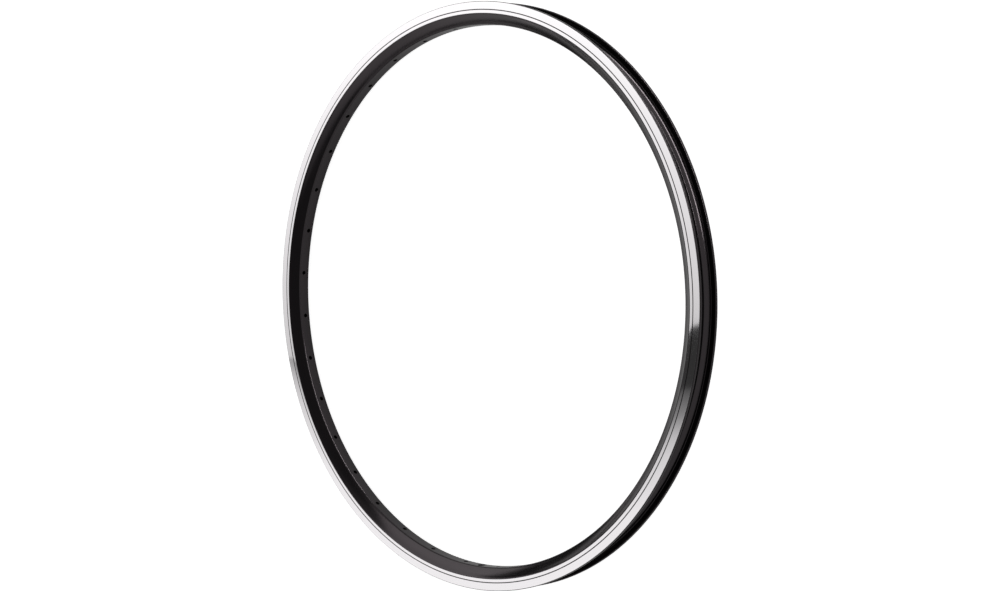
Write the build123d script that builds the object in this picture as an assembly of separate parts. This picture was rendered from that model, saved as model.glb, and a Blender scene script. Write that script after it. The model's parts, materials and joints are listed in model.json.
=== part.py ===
"""Bicycle rim: one extruded, rolled and joined aluminium hoop with a hollow section.

Millimetres. The rim lies flat: its axis is +Z, its centre is the origin and the valve hole points to -Y.
The section is drawn with the radius across and the distance from the middle plane up, then turned about +Z.
"""

import os

from build123d import *

# Tyre side
bead_seat_diameter = 559.0
flange_height = 6.0  # bead seat to flange edge
inner_width = 19.0  # clear width between the two hooks
hook_height = 2.1  # flange edge to the lower corner of the hook's nose
hook_undercut = 1.3  # from that corner to the flange wall, measured towards the axis
bead_seat_width = 2.7
bead_seat_fall = 1.1  # the seat slopes towards the well
well_depth = 3.7  # bead seat to the floor of the tyre well
well_floor_width = 10.6

# Sides and spoke side, with widths and heights taken to the corners before they are rounded
outer_width = 25.0  # across the brake tracks
brake_track_height = 12.0  # flange edge to the side wall
rim_depth = 22.0  # flange edge to spoke bed
spoke_bed_width = 12.0
side_wall_hollow = 0.5  # the wall's middle lies this far in from a straight line between its ends
hollow_reach = 0.3  # share of the wall's length that the hollow's curve takes on either side
wear_groove_drop = 8.0  # flange edge to the middle of the groove
wear_groove_width = 1.0
wear_groove_depth = 0.45

# Walls
flange_wall = 1.5
bead_seat_wall = 1.5
bridge_wall = 1.1  # between tyre well and chamber
track_wall = 1.6
side_wall = 1.1  # at its thinnest, in the hollow
spoke_bed_wall = 2.0

# Rounded corners of the section
flange_edge_radius = 0.8
flange_lip_radius = 0.7
hook_nose_radius = 0.6
hook_root_radius = 0.8
bead_corner_radius = 0.7
well_edge_radius = 4.0
well_floor_radius = 1.0
track_shoulder_radius = 2.0
spoke_bed_radius = 2.0
wear_groove_radius = 0.3
chamber_radius = 0.7

# Holes
spoke_hole_count = 36
spoke_hole_diameter = 4.3
spoke_hole_stagger = 0.55  # alternate holes lie this far to either side of the middle plane
nipple_access_diameter = 8.0
valve_hole_diameter = 8.5
valve_angle = 270.0  # counter-clockwise from +X, seen from +Z

# Radii and half widths that follow from the driving dimensions
bead_seat_radius = bead_seat_diameter / 2
flange_radius = bead_seat_radius + flange_height
well_floor = bead_seat_radius - well_depth
spoke_bed = flange_radius - rim_depth
chamber_middle = (well_floor - bridge_wall + spoke_bed + spoke_bed_wall) / 2
track_half = outer_width / 2
hook_half = inner_width / 2
flange_half = track_half - flange_wall


def inset_line(start, end, wall):
    """The line from start to end, moved to its left by a wall's thickness, as a point and a direction."""
    direction = (end - start).normalized()
    return start + direction.rotate(Axis.Z, 90) * wall, direction


def crossing(first, second):
    """The point where two lines meet, each given as a point and a direction."""
    (point, along), (other_point, other_along) = first, second
    reach = (other_point - point).cross(other_along).Z / along.cross(other_along).Z
    return point + along * reach


def mirrored_face(half, radii):
    """A face from the corners of its upper half, in order, each with a radius; the lower half mirrors it."""
    lower = [Vector(corner.X, -corner.Y) for corner in reversed(half)]
    return make_face(FilletPolyline(*half, *lower, radius=[*radii, *reversed(radii)], close=True))


def rim_section():
    """Hooked flanges, tyre well, brake tracks, hollowed side walls, spoke bed and the chamber inside."""
    floor_middle = Vector(well_floor, 0)
    floor_corner = Vector(well_floor, well_floor_width / 2)
    well_edge = Vector(bead_seat_radius - bead_seat_fall, flange_half - bead_seat_width)
    bead_corner = Vector(bead_seat_radius, flange_half)
    hook_root = Vector(flange_radius - hook_height - hook_undercut, flange_half)
    hook_nose = Vector(flange_radius - hook_height, hook_half)
    flange_lip = Vector(flange_radius, hook_half)
    flange_edge = Vector(flange_radius, track_half)
    shoulder = Vector(flange_radius - brake_track_height, track_half)
    bed_corner = Vector(spoke_bed, spoke_bed_width / 2)
    bed_middle = Vector(spoke_bed, 0)

    # The side wall is a little hollow: its middle is a corner too, rounded over the larger part of the wall.
    wall_length = (bed_corner - shoulder).length
    wall_middle, _ = inset_line((shoulder + bed_corner) / 2, bed_corner, side_wall_hollow)
    hollow_radius = hollow_reach * wall_length * (wall_length / 2) / side_wall_hollow

    rounded_corners = [
        (floor_corner, well_floor_radius),
        (well_edge, well_edge_radius),
        (bead_corner, bead_corner_radius),
        (hook_root, hook_root_radius),
        (hook_nose, hook_nose_radius),
        (flange_lip, flange_lip_radius),
        (flange_edge, flange_edge_radius),
        (shoulder, track_shoulder_radius),
        (wall_middle, hollow_radius),
        (bed_corner, spoke_bed_radius),
    ]
    outside = mirrored_face(*zip(*rounded_corners))

    # Each side of the chamber is parallel to a line between two corners outside, a wall's thickness away.
    chamber_sides = [
        inset_line(floor_middle, floor_corner, bridge_wall),
        inset_line(floor_corner, well_edge, bridge_wall),
        inset_line(well_edge, bead_corner, bead_seat_wall),
        inset_line(flange_edge, shoulder, track_wall),
        inset_line(shoulder, bed_corner, side_wall_hollow + side_wall),
        inset_line(bed_corner, bed_middle, spoke_bed_wall),
    ]
    corners = [crossing(side, following) for side, following in zip(chamber_sides, chamber_sides[1:])]
    chamber = mirrored_face(corners, [chamber_radius] * len(corners))

    groove = RectangleRounded(wear_groove_width, 2 * wear_groove_depth, wear_groove_radius)
    groove_radius = flange_radius - wear_groove_drop
    grooves = [Pos(groove_radius, side * track_half) * groove for side in (1, -1)]
    return outside - chamber - grooves


def radial_drill(diameter, angle, offset, start, end):
    """A round cutter along a radius of the rim, between two distances from the axis."""
    cutter = Cylinder(diameter / 2, end - start)
    return Rot(0, 0, angle) * Pos((start + end) / 2, 0, offset) * Rot(0, 90, 0) * cutter


def spoke_drills():
    """Nipple holes through the bed, each with a wider hole through the bridge to drop the nipple in."""
    pitch = 360 / spoke_hole_count
    drills = []
    for number in range(spoke_hole_count):
        angle = valve_angle + pitch * (number + 0.5)
        offset = spoke_hole_stagger * (-1) ** number
        below_bed = spoke_bed - spoke_bed_wall
        drills.append(radial_drill(spoke_hole_diameter, angle, offset, below_bed, chamber_middle))
        drills.append(radial_drill(nipple_access_diameter, angle, offset, chamber_middle, flange_radius))
    return drills


def valve_drill():
    """The valve hole, through bed and bridge, midway between two spoke holes."""
    return radial_drill(valve_hole_diameter, valve_angle, 0, spoke_bed - spoke_bed_wall, flange_radius)


hoop = revolve(Plane.XZ * rim_section(), Axis.Z)
rim = hoop - [*spoke_drills(), valve_drill()]
rim.label = "rim"

os.makedirs("parts", exist_ok=True)
export_step(rim, "parts/rim.step")
print("rim volume", round(rim.volume), "mm3, box", rim.bounding_box().size)
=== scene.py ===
# %% [markdown]
# # A bicycle rim
# The part is one aluminium extrusion, rolled to a hoop: black anodised all over, with a bright machined brake
# track on each side, a ring of spoke holes, a valve hole and an open channel for the tyre.
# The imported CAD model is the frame. It gives the sizes and the places of the holes, and this lesson builds a finer
# hoop on those sizes, gives it its two finishes and sets it in plain studio light.

# %% Load the frame
import json
from math import ceil, pi, radians, tan, tau

import bmesh
import bpy
from mathutils import Matrix, Vector
from mathutils.geometry import intersect_line_line


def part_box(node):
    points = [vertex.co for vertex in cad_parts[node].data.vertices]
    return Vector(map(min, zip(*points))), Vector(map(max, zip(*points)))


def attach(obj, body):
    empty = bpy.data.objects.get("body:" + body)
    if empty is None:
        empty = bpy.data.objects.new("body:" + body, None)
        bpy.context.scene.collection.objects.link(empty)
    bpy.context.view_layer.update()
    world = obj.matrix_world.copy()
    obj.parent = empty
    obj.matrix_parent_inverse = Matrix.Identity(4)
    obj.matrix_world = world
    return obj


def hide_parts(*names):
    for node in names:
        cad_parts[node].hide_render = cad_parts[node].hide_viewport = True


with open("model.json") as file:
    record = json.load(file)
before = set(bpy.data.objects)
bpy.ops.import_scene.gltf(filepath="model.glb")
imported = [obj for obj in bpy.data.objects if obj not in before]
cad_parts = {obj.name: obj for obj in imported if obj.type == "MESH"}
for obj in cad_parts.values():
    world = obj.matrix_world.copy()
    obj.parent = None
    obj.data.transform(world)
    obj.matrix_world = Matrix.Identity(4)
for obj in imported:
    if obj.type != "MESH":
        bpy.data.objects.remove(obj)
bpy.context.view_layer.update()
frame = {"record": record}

# %% [markdown]
# The record names the places where other parts meet the rim, with their sizes. Reading them here keeps this
# model on the same holes and the same bead seat as the CAD model, so nothing has to be fitted by eye.

# %% Sizes from the frame
MM = 0.001
mounts = {mount["name"]: mount for mount in frame["record"]["mounts"]}
ring = mounts["spoke_hole_ring"]["dims"]
seat = mounts["tyre_bead_seat"]["dims"]
valve = mounts["valve_hole"]

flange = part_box("rim")[1].x
half_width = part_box("rim")[1].z
bead_seat = seat["r_mm"] * MM
hook_half = seat["length_mm"] / 2 * MM
spoke_bed = ring["pcd_mm"] / 2 * MM
spoke_hole = ring["hole_r_mm"] * MM
spoke_count = ring["count"]
stagger = mounts["spoke_hole_above_middle"]["pos_m"][2]
valve_hole = valve["dims"]["r_mm"] * MM
well_floor = spoke_bed + valve["dims"]["length_mm"] * MM
print("flange", round(flange, 4), "bead seat", bead_seat, "spoke bed", spoke_bed, "well floor", round(well_floor, 4))

# %% [markdown]
# A hoop is a section that goes round an axis. The section of a rim is drawn as a wire: the hooked flange that holds
# the tyre, the bead seat, the well, the brake track with its wear groove, the side wall and the spoke bed.
# Only the upper half is drawn, because the lower half is its mirror image. It starts as plain points, one for each
# corner as it would be without its rounding.

# %% Corners of the section
flange_wall = 1.5 * MM
flange_half = half_width - flange_wall
hook_height = 2.1 * MM
hook_undercut = 1.3 * MM
bead_seat_width = 2.7 * MM
bead_seat_fall = 1.1 * MM
well_half = 5.3 * MM
track_height = 12.0 * MM
bed_half = 6.0 * MM
groove_drop = 8.0 * MM
groove_half = 0.5 * MM
groove_depth = 0.45 * MM


def at(radius, height):
    """A point of the section: its distance from the axis, and its height over the middle plane."""
    return Vector((radius, 0, height))


floor_corner = at(well_floor, well_half)
well_edge = at(bead_seat - bead_seat_fall, flange_half - bead_seat_width)
bead_corner = at(bead_seat, flange_half)
hook_root = at(flange - hook_height - hook_undercut, flange_half)
hook_nose = at(flange - hook_height, hook_half)
flange_lip = at(flange, hook_half)
flange_edge = at(flange, half_width)
shoulder = at(flange - track_height, half_width)
bed_corner = at(spoke_bed, bed_half)
groove_top = flange - groove_drop + groove_half
groove_bottom = flange - groove_drop - groove_half
groove_bed = half_width - groove_depth
print("half width", round(half_width, 4), "tyre opening", round(2 * hook_half, 4))

# %% [markdown]
# The side wall is not quite flat: light fades across it, from the track down to the bed, so it is a little hollow.
# One more corner in its middle, moved in by half a millimetre and rounded over most of the wall, gives that curve.

# %% Hollow of the side wall
hollow = 0.5 * MM
hollow_reach = 0.3  # share of the wall's length that the curve takes on either side


def moved_in(start, end, wall):
    """The ends of a side of the section, moved inwards by a wall's thickness."""
    along = (end - start).normalized()
    inwards = Vector((-along.z, 0, along.x)) * wall
    return start + inwards, end + inwards


wall_length = (bed_corner - shoulder).length
hollow_radius = hollow_reach * wall_length * (wall_length / 2) / hollow
hollow_start, hollow_end = moved_in(shoulder, bed_corner, hollow)
wall_middle = (hollow_start + hollow_end) / 2
print("side wall", round(wall_length, 4), "radius of its hollow", round(hollow_radius, 4))

# %% [markdown]
# An extrusion has no sharp corners: the die would wear and the tyre would chafe. Each corner gets a radius of its
# own, small on the hook and large where the tyre slides into the well. Only the edges that the cutter leaves at the
# wear groove are sharp, and the wire's two ends on the middle plane are no corners at all.

# %% Outer wire
UNROUNDED = 0
well_floor_radius = 1.0 * MM
well_edge_radius = 4.0 * MM
bead_corner_radius = 0.7 * MM
hook_root_radius = 0.8 * MM
hook_nose_radius = 0.6 * MM
flange_lip_radius = 0.7 * MM
flange_edge_radius = 0.8 * MM
groove_radius = 0.25 * MM
shoulder_radius = 2.0 * MM
bed_corner_radius = 2.0 * MM

outside = [
    (at(well_floor, 0), UNROUNDED),
    (floor_corner, well_floor_radius),
    (well_edge, well_edge_radius),
    (bead_corner, bead_corner_radius),
    (hook_root, hook_root_radius),
    (hook_nose, hook_nose_radius),
    (flange_lip, flange_lip_radius),
    (flange_edge, flange_edge_radius),
    (at(groove_top, half_width), UNROUNDED),
    (at(groove_top, groove_bed), groove_radius),
    (at(groove_bottom, groove_bed), groove_radius),
    (at(groove_bottom, half_width), UNROUNDED),
    (shoulder, shoulder_radius),
    (wall_middle, hollow_radius),
    (bed_corner, bed_corner_radius),
    (at(spoke_bed, 0), UNROUNDED),
]
print("corners of the outer wire", len(outside))

# %% [markdown]
# The rim is hollow. Its chamber follows the outer wire at the thickness of each wall, so every side of the chamber
# is a line moved inwards, and its corners are the points where two such lines cross.

# %% Corners of the chamber
chamber_radius = 0.7 * MM
bridge_wall = 1.1 * MM
seat_wall = 1.5 * MM
track_wall = 1.6 * MM
side_wall = 1.1 * MM
bed_wall = mounts["spoke_hole_above_middle"]["dims"]["length_mm"] * MM

sides = [
    moved_in(at(well_floor, 0), floor_corner, bridge_wall),
    moved_in(floor_corner, well_edge, bridge_wall),
    moved_in(well_edge, bead_corner, seat_wall),
    moved_in(flange_edge, shoulder, track_wall),
    moved_in(shoulder, bed_corner, hollow + side_wall),
    moved_in(bed_corner, at(spoke_bed, 0), bed_wall),
]
chamber = [(intersect_line_line(*one, *other)[0], chamber_radius) for one, other in zip(sides, sides[1:])]
chamber = [(sides[0][0], UNROUNDED), *chamber, (sides[-1][1], UNROUNDED)]
print("chamber from radius", round(sides[-1][1].x, 4), "to", round(sides[0][0].x, 4))

# %% [markdown]
# A vertex bevel turns a corner of a wire into an arc. It asks how far from the corner the arc starts, which follows
# from the radius and the angle by which the wire turns. Sharp turns need more segments than slight ones, and a long
# slight curve such as the hollow needs enough of them to keep each facet short.

# %% Rounded wires
FINE_STEP = radians(15)
COARSE_STEP = radians(30)
LONGEST_FACET = 1.3 * MM
MERGE = 0.005 * MM


def rounded_wire(corners, arc_step):
    """A wire through the corners, each rounded by its own radius, with its mirror image below the middle plane."""
    bm = bmesh.new()
    verts = [bm.verts.new(point) for point, _ in corners]
    for one, other in zip(verts, verts[1:]):
        bm.edges.new((one, other))
    for vert, (_, rounding) in zip(verts, corners):
        if rounding:
            before, after = [edge.other_vert(vert).co - vert.co for edge in vert.link_edges]
            turn = pi - before.angle(after)
            bmesh.ops.bevel(
                bm, geom=[vert], offset=rounding * tan(turn / 2), offset_type="OFFSET", affect="VERTICES",
                segments=max(2, round(turn / arc_step), ceil(turn * rounding / LONGEST_FACET)),
                profile=0.5, material=-1,
            )
    bmesh.ops.mirror(bm, geom=[*bm.verts, *bm.edges], matrix=Matrix(), merge_dist=MERGE, axis="Z")
    return bm


outer_shell = rounded_wire(outside, FINE_STEP)
inner_shell = rounded_wire(chamber, COARSE_STEP)
print("points on the wires", len(outer_shell.verts), "outside", len(inner_shell.verts), "inside")

# %% [markdown]
# Spin takes the wire round the axis. One spin in hundreds of steps is slow, so the wire is spun over one sector, from
# a spoke hole to the next, and the sector is then copied round and its seams are merged.
# The chamber is a shell inside a shell: its faces have to look into the hollow, so they are turned round after the
# normals are recalculated.

# %% Spin the hoop
SECTOR_STEPS = 10
pitch = tau / spoke_count


def spin_round(bm):
    """Takes a wire round the axis, over one sector and then in copies of it, and closes it to a shell."""
    spindle = {"cent": (0, 0, 0), "axis": (0, 0, 1)}
    bmesh.ops.spin(bm, geom=[*bm.verts, *bm.edges], angle=pitch, steps=SECTOR_STEPS, **spindle)
    sector = [*bm.verts, *bm.edges, *bm.faces]
    bmesh.ops.spin(bm, geom=sector, angle=tau - pitch, steps=spoke_count - 1, use_duplicate=True, **spindle)
    bmesh.ops.remove_doubles(bm, verts=bm.verts, dist=MERGE)
    bmesh.ops.recalc_face_normals(bm, faces=bm.faces)


def mesh_of(name, *parts):
    """One mesh from several bmeshes."""
    whole = bmesh.new()
    for part in parts:
        mesh = bpy.data.meshes.new(name)
        part.to_mesh(mesh)
        part.free()
        whole.from_mesh(mesh)
        bpy.data.meshes.remove(mesh)
    mesh = bpy.data.meshes.new(name)
    whole.to_mesh(mesh)
    whole.free()
    return mesh


spin_round(outer_shell)
spin_round(inner_shell)
bmesh.ops.reverse_faces(inner_shell, faces=inner_shell.faces)
rim = bpy.data.objects.new("anodised_rim", mesh_of("anodised_rim", outer_shell, inner_shell))
bpy.context.collection.objects.link(rim)
print("hoop", len(rim.data.polygons), "faces")

# %% [markdown]
# The holes are drilled as on the real rim, along a radius. A spoke hole is narrow in the bed, where the nipple's
# head rests, and wide in the bridge, where the nipple is dropped in. Neighbouring holes lie a little to either side
# of the middle plane. A drill is a stepped wire, spun about its own axis, with a small cone that breaks the edge.

# %% Drills
DRILL_STEPS = 48
access_hole = 4.0 * MM
broken_edge = 0.05 * MM
overshoot = 1.0 * MM
chamber_middle = (well_floor - bridge_wall + spoke_bed + bed_wall) / 2


def drill(steps, angle, height):
    """A closed cutter along a radius of the rim; steps are distances from the rim's axis and drill radii."""
    bm = bmesh.new()
    path = [(steps[0][0], 0), *steps, (steps[-1][0], 0)]
    verts = [bm.verts.new((distance, 0, height + radius)) for distance, radius in path]
    edges = [bm.edges.new(pair) for pair in zip(verts, verts[1:])]
    bmesh.ops.spin(
        bm, geom=[*verts, *edges], cent=(0, 0, height), axis=(1, 0, 0), angle=tau, steps=DRILL_STEPS, use_merge=True
    )
    bmesh.ops.remove_doubles(bm, verts=bm.verts, dist=MERGE)
    bmesh.ops.recalc_face_normals(bm, faces=bm.faces)
    bmesh.ops.rotate(bm, verts=bm.verts, cent=(0, 0, 0), matrix=Matrix.Rotation(angle, 3, "Z"))
    return bm


cone = [(spoke_bed - overshoot, overshoot + broken_edge), (spoke_bed + broken_edge, 0)]
spoke_steps = [(distance, spoke_hole + wider) for distance, wider in cone]
spoke_steps += [(chamber_middle, spoke_hole), (chamber_middle, access_hole), (flange, access_hole)]
valve_steps = [(distance, valve_hole + wider) for distance, wider in cone]
valve_steps += [(flange, valve_hole)]

valve_angle = Vector(valve["pos_m"]).to_2d().angle_signed(Vector((1, 0)))
cutters = [drill(valve_steps, valve_angle, 0)]
for number in range(spoke_count):
    cutters.append(drill(spoke_steps, valve_angle + pitch * (number + 0.5), stagger * (-1) ** number))
drills = bpy.data.objects.new("drills", mesh_of("drills", *cutters))
bpy.context.collection.objects.link(drills)
print("drills", len(cutters), "faces", len(drills.data.polygons))

# %% [markdown]
# A Boolean modifier takes all the drills out of the hoop at once. The exact solver is chosen because the drills'
# flat ends and the curved well meet at shallow angles. The result is kept as the rim's own mesh, and the drills go.

# %% Drill the hoop
cut = rim.modifiers.new("drilling", "BOOLEAN")
cut.operation = "DIFFERENCE"
cut.solver = "EXACT"
cut.object = drills
drilled = bpy.data.meshes.new_from_object(rim.evaluated_get(bpy.context.evaluated_depsgraph_get()))
rim.modifiers.clear()
rim.data = drilled
bpy.data.objects.remove(drills)
rim.data.calc_loop_triangles()
print("drilled rim", len(rim.data.polygons), "faces,", len(rim.data.loop_triangles), "triangles")

# %% [markdown]
# The brake tracks are turned after anodising, so the cutter leaves bare metal on the two flat faces while the wear
# groove below them stays black. Both finishes are on one piece: each face takes the number of its material.
# Smooth shading with sharp edges kept, and normals weighted by area, make the flat faces look truly flat.

# %% Two finishes on one piece
BODY, TRACK = 0, 1
FLATNESS = 0.02 * MM
SHARP_FROM = radians(32)
for face in rim.data.polygons:
    face.use_smooth = True
    on_track = abs(abs(face.center.z) - half_width) < FLATNESS
    face.material_index = TRACK if on_track else BODY
rim.data.set_sharp_from_angle(angle=SHARP_FROM)
weighted = rim.modifiers.new("flat faces stay flat", "WEIGHTED_NORMAL")
weighted.keep_sharp = True
print("track faces", sum(face.material_index == TRACK for face in rim.data.polygons))

# %% [markdown]
# Materials are trees of nodes. Written out, every node takes a line to make it and one more for each link, so a few
# small helpers do that: each makes a node, feeds its inputs with numbers or other nodes, and hands on what comes out.

# %% Helpers for nodes
def feed(tree, socket, value):
    """Gives an input a fixed value, or the output of another node."""
    if isinstance(value, bpy.types.NodeSocket):
        tree.links.new(value, socket)
    else:
        socket.default_value = value


def fed(tree, kind, values, operation=None):
    """The outputs of a new node whose inputs take the values in turn."""
    node = tree.nodes.new(kind)
    if operation:
        node.operation = operation
    for socket, value in zip(node.inputs, values):
        feed(tree, socket, value)
    return node.outputs


def calculate(tree, operation, *values):
    """The result of a Math node."""
    return fed(tree, "ShaderNodeMath", values, operation)["Value"]


def calculate_vector(tree, operation, *values):
    """The results of a Vector Math node."""
    return fed(tree, "ShaderNodeVectorMath", values, operation)


def split(tree, vector):
    """The three numbers of a vector."""
    return fed(tree, "ShaderNodeSeparateXYZ", [vector])


print("helpers for nodes are ready")

# %% [markdown]
# Both finishes carry fine lines that run round the hoop. On the black body they are the drawing lines of the
# extrusion die, on the tracks the marks of the turning tool. A pattern that only knows the distance from the axis
# and the height makes such lines, so one node group works them out from Object coordinates and serves both.
# The direction round the hoop goes in too, as a point on a circle, so that a line fades in and out along its way and
# meets itself again without a seam.

# %% Lines round the hoop
hoop_lines = bpy.data.node_groups.new("hoop_lines", "ShaderNodeTree")
hoop_lines.interface.new_socket("Lines per metre", in_out="INPUT", socket_type="NodeSocketFloat")
hoop_lines.interface.new_socket("Fades per turn", in_out="INPUT", socket_type="NodeSocketFloat")
hoop_lines.interface.new_socket("Lines", in_out="OUTPUT", socket_type="NodeSocketFloat")
given = hoop_lines.nodes.new("NodeGroupInput").outputs
result = hoop_lines.nodes.new("NodeGroupOutput").inputs
place = hoop_lines.nodes.new("ShaderNodeTexCoord").outputs["Object"]
in_plane = calculate_vector(hoop_lines, "MULTIPLY", place, (1, 1, 0))["Vector"]
radius = calculate_vector(hoop_lines, "LENGTH", in_plane)["Value"]
height = split(hoop_lines, place)["Z"]
circle = split(hoop_lines, calculate_vector(hoop_lines, "NORMALIZE", in_plane)["Vector"])
across = [calculate(hoop_lines, "MULTIPLY", size, given["Lines per metre"]) for size in (radius, height)]
along = [calculate(hoop_lines, "MULTIPLY", circle[axis], given["Fades per turn"]) for axis in ("X", "Y")]
section = fed(hoop_lines, "ShaderNodeCombineXYZ", [*across, along[0]])["Vector"]
streaks = hoop_lines.nodes.new("ShaderNodeTexNoise")
streaks.noise_dimensions = "4D"
streaks.inputs["Scale"].default_value = 1
streaks.inputs["Detail"].default_value = 3
feed(hoop_lines, streaks.inputs["Vector"], section)
feed(hoop_lines, streaks.inputs["W"], along[1])
feed(hoop_lines, result["Lines"], streaks.outputs["Fac"])
print("group", hoop_lines.name, "nodes", len(hoop_lines.nodes))

# %% [markdown]
# Anodising etches the metal to a fine satin, and handling leaves faint cloudy areas that are a little shinier. The
# turned tracks have the same clouds and a finer grain. Noise on Object coordinates at two scales gives both, in a
# second group, and each material chooses how fine its grain is.

# %% Satin grain
satin = bpy.data.node_groups.new("satin_grain", "ShaderNodeTree")
satin.interface.new_socket("Grains per metre", in_out="INPUT", socket_type="NodeSocketFloat")
satin.interface.new_socket("Grain", in_out="OUTPUT", socket_type="NodeSocketFloat")
satin.interface.new_socket("Clouds", in_out="OUTPUT", socket_type="NodeSocketFloat")
given = satin.nodes.new("NodeGroupInput").outputs
result = satin.nodes.new("NodeGroupOutput").inputs
place = satin.nodes.new("ShaderNodeTexCoord").outputs["Object"]
clouds_per_metre = 22
for name, scale, detail in (("Grain", given["Grains per metre"], 2), ("Clouds", clouds_per_metre, 4)):
    noise = satin.nodes.new("ShaderNodeTexNoise")
    noise.inputs["Detail"].default_value = detail
    feed(satin, noise.inputs["Scale"], scale)
    feed(satin, noise.inputs["Vector"], place)
    feed(satin, result[name], noise.outputs["Fac"])
print("group", satin.name, "nodes", len(satin.nodes))

# %% [markdown]
# A finish is a Principled shader whose colour, roughness and bump follow the two groups. Numbers that are the same
# all over, such as how metallic it is, are set on the shader itself.

# %% A finish from lines and grain
FADES_PER_TURN = 5
LINES_SHARE, GRAIN_SHARE = 0.65, 0.35
NOISE_RANGE = 0.3, 0.7  # where nearly all of a noise's values lie


def mixed(tree, factor, first, second):
    """One colour that goes over into another as the factor goes from 0 to 1."""
    node = tree.nodes.new("ShaderNodeMix")
    node.data_type = "RGBA"
    for name, value in (("Factor", factor), ("A", first), ("B", second)):
        feed(tree, node.inputs[name], value)
    return node.outputs["Result"]


def ranged(tree, value, low, high, to_low, to_high):
    """A value taken from one range to another."""
    return fed(tree, "ShaderNodeMapRange", [value, low, high, to_low, to_high])["Result"]


def placed(tree, group, **values):
    """The outputs of a node group in a material, with its own values."""
    node = tree.nodes.new("ShaderNodeGroup")
    node.node_tree = group
    for name, value in values.items():
        node.inputs[name.replace("_", " ")].default_value = value
    return node.outputs


def finish(name, dark, light, smooth, rough, relief, lines_per_metre, grains_per_metre):
    """A material between two colours and two roughnesses, with a relief of lines and grain in metres."""
    material = bpy.data.materials.new(name)
    material.use_nodes = True
    tree = material.node_tree
    shader = tree.nodes["Principled BSDF"]
    lines = placed(tree, hoop_lines, Lines_per_metre=lines_per_metre, Fades_per_turn=FADES_PER_TURN)["Lines"]
    texture = placed(tree, satin, Grains_per_metre=grains_per_metre)
    lines_part = calculate(tree, "MULTIPLY", lines, LINES_SHARE)
    surface = calculate(tree, "MULTIPLY_ADD", texture["Grain"], GRAIN_SHARE, lines_part)
    handled = calculate(tree, "MULTIPLY", calculate(tree, "ADD", surface, texture["Clouds"]), 0.5)

    bump = tree.nodes.new("ShaderNodeBump")
    bump.inputs["Distance"].default_value = relief
    feed(tree, bump.inputs["Height"], surface)
    feed(tree, shader.inputs["Base Color"], mixed(tree, surface, (*dark, 1), (*light, 1)))
    feed(tree, shader.inputs["Roughness"], ranged(tree, handled, *NOISE_RANGE, smooth, rough))
    feed(tree, shader.inputs["Normal"], bump.outputs["Normal"])
    print("finish", name, "nodes", len(tree.nodes))
    return material, shader


# %% [markdown]
# Black anodising is aluminium oxide full of dye, under a clear hard skin that reflects a little more than plastic
# does. So the body is a near black with about the oxide's refractive index and no metal in it. The dye leans faintly
# to purple, and so do the colours and the tint of the reflections.

# %% Black anodised body
black, shader = finish(
    "black_anodised", dark=(0.0016, 0.0014, 0.0015), light=(0.0037, 0.0034, 0.0036), smooth=0.12, rough=0.22,
    relief=0.006 * MM, lines_per_metre=1600, grains_per_metre=5200,
)
shader.inputs["IOR"].default_value = 1.55
shader.inputs["Specular Tint"].default_value = (1, 0.87, 0.93, 1)
rim.data.materials.append(black)

# %% [markdown]
# The turned tracks are bare aluminium, a faintly warm white, nearly a mirror along the tool's marks and duller across
# them. Anisotropy says that, and a tangent that goes round the axis tells the shader which way the marks run.

# %% Machined brake tracks
bright, shader = finish(
    "machined_track", dark=(0.85, 0.827, 0.842), light=(0.96, 0.934, 0.951), smooth=0.03, rough=0.06,
    relief=0.0006 * MM, lines_per_metre=4200, grains_per_metre=9000,
)
shader.inputs["Metallic"].default_value = 1
shader.inputs["Anisotropic"].default_value = 0.5
shader.inputs["Anisotropic Rotation"].default_value = 0.25
marks = bright.node_tree.nodes.new("ShaderNodeTangent")
marks.direction_type = "RADIAL"
marks.axis = "Z"
feed(bright.node_tree, shader.inputs["Tangent"], marks.outputs["Tangent"])
rim.data.materials.append(bright)
print("materials of the rim", [material.name for material in rim.data.materials])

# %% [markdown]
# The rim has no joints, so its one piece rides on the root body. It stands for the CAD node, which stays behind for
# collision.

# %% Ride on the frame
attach(rim, "root")
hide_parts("rim")
print("rim rides on root")

# %% [markdown]
# The photograph has a pure white ground. A floor that is only lit would need so much light that the metal burns
# out, so the floor also glows for the rays that come straight from the camera. Its diffuse part still takes the rim's
# shadow. Glossy rays see some of the glow, so that the black skin mirrors a pale floor too.

# %% White floor
floor_reach = 20
floor_gap = 0.1 * MM
floor_grey = 0.75
seen_directly = 0.88
seen_in_metal = 0.18

floor_bm = bmesh.new()
bmesh.ops.create_grid(floor_bm, x_segments=1, y_segments=1, size=floor_reach)
bmesh.ops.translate(floor_bm, verts=floor_bm.verts, vec=(0, 0, -half_width - floor_gap))
floor = bpy.data.objects.new("floor", mesh_of("floor", floor_bm))
bpy.context.collection.objects.link(floor)

paper = bpy.data.materials.new("white_floor")
paper.use_nodes = True
tree = paper.node_tree
tree.nodes.clear()
ray = tree.nodes.new("ShaderNodeLightPath").outputs
straight = calculate(tree, "ADD", ray["Is Camera Ray"], ray["Is Transmission Ray"])
direct = calculate(tree, "MULTIPLY", straight, seen_directly)
mirrored = calculate(tree, "MULTIPLY", ray["Is Glossy Ray"], seen_in_metal)
glow = tree.nodes.new("ShaderNodeEmission")
feed(tree, glow.inputs["Strength"], calculate(tree, "ADD", direct, mirrored))
lit = tree.nodes.new("ShaderNodeBsdfDiffuse")
lit.inputs["Color"].default_value = (floor_grey, floor_grey, floor_grey, 1)
both = fed(tree, "ShaderNodeAddShader", [lit.outputs["BSDF"], glow.outputs["Emission"]])["Shader"]
feed(tree, tree.nodes.new("ShaderNodeOutputMaterial").inputs["Surface"], both)
floor.data.materials.append(paper)
print("floor at", round(floor.data.vertices[0].co.z, 4))

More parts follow.
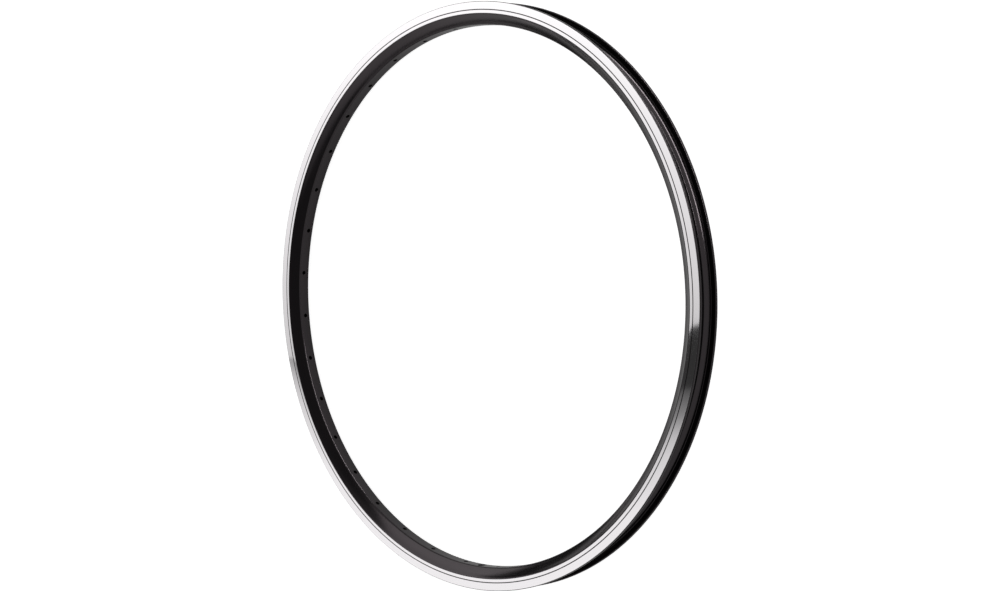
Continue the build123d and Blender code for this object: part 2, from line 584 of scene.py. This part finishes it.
# %% [markdown]
# Bare metal is as bright as what it mirrors. Behind the rim the room is dark, with a pale strip along the horizon,
# where the floor's paper ends. In front it is pale up to about 40 degrees and dim overhead, so that the tracks are not
# black from other sides. Ramps over the height of a direction paint both, and its X chooses between them. The camera
# and clear materials see plain white instead.

# %% Studio room
front_shades = [(0.02, 0.3), (0.15, 0.55), (0.5, 0.6), (0.62, 0.6), (0.8, 0.1)]
behind_shades = [(0.02, 1), (0.14, 0.03)]
front_until, behind_from = 0, -0.4  # X of a direction
WHITE = (1, 1, 1, 1)


def shaded(tree, value, shades):
    """Greys over a value, through a Color Ramp; shades are values with a brightness each."""
    ramp = tree.nodes.new("ShaderNodeValToRGB")
    for position, _ in shades[1:-1]:
        ramp.color_ramp.elements.new(position)
    for element, (position, brightness) in zip(ramp.color_ramp.elements, shades):
        element.position = position
        element.color = (brightness, brightness, brightness, 1)
    feed(tree, ramp.inputs["Fac"], value)
    return ramp.outputs["Color"]


world = bpy.data.worlds.new("studio")
bpy.context.scene.world = world
world.use_nodes = True
tree = world.node_tree
way = split(tree, tree.nodes.new("ShaderNodeTexCoord").outputs["Generated"])
front, behind = [shaded(tree, way["Z"], shades) for shades in (front_shades, behind_shades)]
room = mixed(tree, ranged(tree, way["X"], front_until, behind_from, 0, 1), front, behind)
ray = tree.nodes.new("ShaderNodeLightPath").outputs
straight = calculate(tree, "ADD", ray["Is Camera Ray"], ray["Is Transmission Ray"])
feed(tree, tree.nodes["Background"].inputs["Color"], mixed(tree, straight, room, WHITE))
print("world", world.name, "nodes", len(tree.nodes))

# %% [markdown]
# In the photograph the tracks mirror two large pale panels, one brighter towards the picture's top and one below it,
# and the gap between them is the dark stretch on the right. A softbox is a rectangular area lamp. Nodes on the lamp
# read the place across its face, so that it can fade as a real one does. Its power is brightness times pi times area.

# %% Softbox
def softbox(name, centre, facing, up, width, height, shades):
    """A rectangular lamp with its back along facing; shades are places across its face, with a brightness each."""
    peak = max(brightness for _, brightness in shades)
    lamp = bpy.data.lights.new(name, "AREA")
    lamp.shape = "RECTANGLE"
    lamp.size = width
    lamp.size_y = height
    lamp.energy = peak * pi * width * height
    lamp.use_nodes = True
    tree = lamp.node_tree
    face = split(tree, tree.nodes.new("ShaderNodeNewGeometry").outputs["Parametric"])
    greys = shaded(tree, face["X"], [(position, brightness / peak) for position, brightness in shades])
    feed(tree, tree.nodes["Emission"].inputs["Color"], greys)

    box = bpy.data.objects.new(name, lamp)
    back = facing.normalized()
    side = up.cross(back).normalized()
    box.matrix_world = Matrix.Translation(centre) @ Matrix((side, back.cross(side), back)).transposed().to_4x4()
    bpy.context.collection.objects.link(box)
    print(name, [round(value, 3) for value in centre], width, "x", height, "brightness", peak)


# %% [markdown]
# Both panels stand beyond the far side of the rim, on one plane that faces the mirrored view, three metres away. A
# place on that plane is a way across it, towards the picture's top, and a way along it.

# %% Two far panels
panel_back = Vector((-1, 0, 1)).normalized()
panel_up = Vector((1, 0, 1)).normalized()
panel_side = Vector((0, 1, 0))
panel_distance = 3.0


def far_panel(name, across, along, tilt, width, height, shades):
    """A softbox on the panels' plane, tilted on it; its shades go from the picture's top to its bottom."""
    centre = panel_back * panel_distance + panel_side * across + panel_up * along
    up = Matrix.Rotation(tilt, 3, panel_back) @ panel_up
    softbox(name, centre, panel_back, up, width, height, shades)


far_panel(
    "panel_upper", across=1.54, along=0.05, tilt=radians(3.6), width=3.5, height=2.3,
    shades=[(0, 1.05), (0.4, 1.45), (0.757, 1.1), (1, 0.62)],
)
far_panel(
    "panel_lower", across=-1.013, along=-0.1, tilt=radians(-10.2), width=1.55, height=2.6,
    shades=[
        (0, 0.05), (0.045, 0.2), (0.085, 0.52), (0.12, 0.67), (0.23, 0.88), (0.35, 0.92), (0.8, 0.8), (1, 0.45),
    ],
)

# %% [markdown]
# A third panel hangs below the picture, turned so that its long side slopes down to the left. It is brightest about
# two thirds of the way down. The hollow side walls at the picture's top show it and fade from the track to the bed.

# %% Low panel
low_place = Vector((-1.221, -1.324, 1.113))
low_back = Vector((-0.27, -0.75, 0.6))
low_slope = Vector((-0.879, -0.057, -0.471))
low_shades = [(0, 0.2), (0.25, 0.5), (0.53, 0.83), (0.7, 0.9), (1, 0.6)]
low_up = low_back.cross(low_slope)
softbox("panel_low", low_place, low_back, low_up, width=4.1, height=0.56, shades=low_shades)

# %% [markdown]
# A low strip light stands close to the floor, up and to the right of the picture. The rounded edges in the tyre
# channel catch it as thin bright lines, while the flat walls beside them stay dark.

# %% Strip light
strip_place = Vector((1.23, 1.58, 0.15))
strip_back = Vector((*strip_place.xy, 0))
strip_shades = [(0, 14), (1, 14)]
softbox("strip_light", strip_place, strip_back, Vector((0, 0, 1)), width=2.6, height=0.3, shades=strip_shades)

# %% [markdown]
# The camera looks at the rim from about 45 degrees over its plane and is turned, so that the valve hole is at the
# bottom. Its place, its lens and its roll were found by fitting the rim's circles and holes to the photograph.

# %% Camera
lens, sensor_width = 67.186, 36
azimuth, elevation, roll = radians(2.573), radians(45.610), radians(0.968)
distance = 1.8239
aim_right, aim_up = 0.02219, 0.00118

camera_data = bpy.data.cameras.new("camera")
camera_data.sensor_width = sensor_width
camera_data.lens = lens
camera = bpy.data.objects.new("camera", camera_data)
bpy.context.collection.objects.link(camera)
bpy.context.scene.camera = camera

back = Matrix.Rotation(azimuth, 3, "Z") @ Matrix.Rotation(-elevation, 3, "Y") @ Vector((1, 0, 0))
up = (Vector((0, 1, 0)) - back * back.y).normalized()
turn = Matrix.Rotation(-roll, 3, back)
up, right = turn @ up, turn @ up.cross(back)
eye = back * distance + right * aim_right + up * aim_up
camera.matrix_world = Matrix.Translation(eye) @ Matrix((right, up, back)).transposed().to_4x4()
print("camera at", [round(value, 3) for value in eye])

# %% [markdown]
# The Standard view keeps colours as they are written.

# %% Colour view
bpy.context.scene.view_settings.view_transform = "Standard"
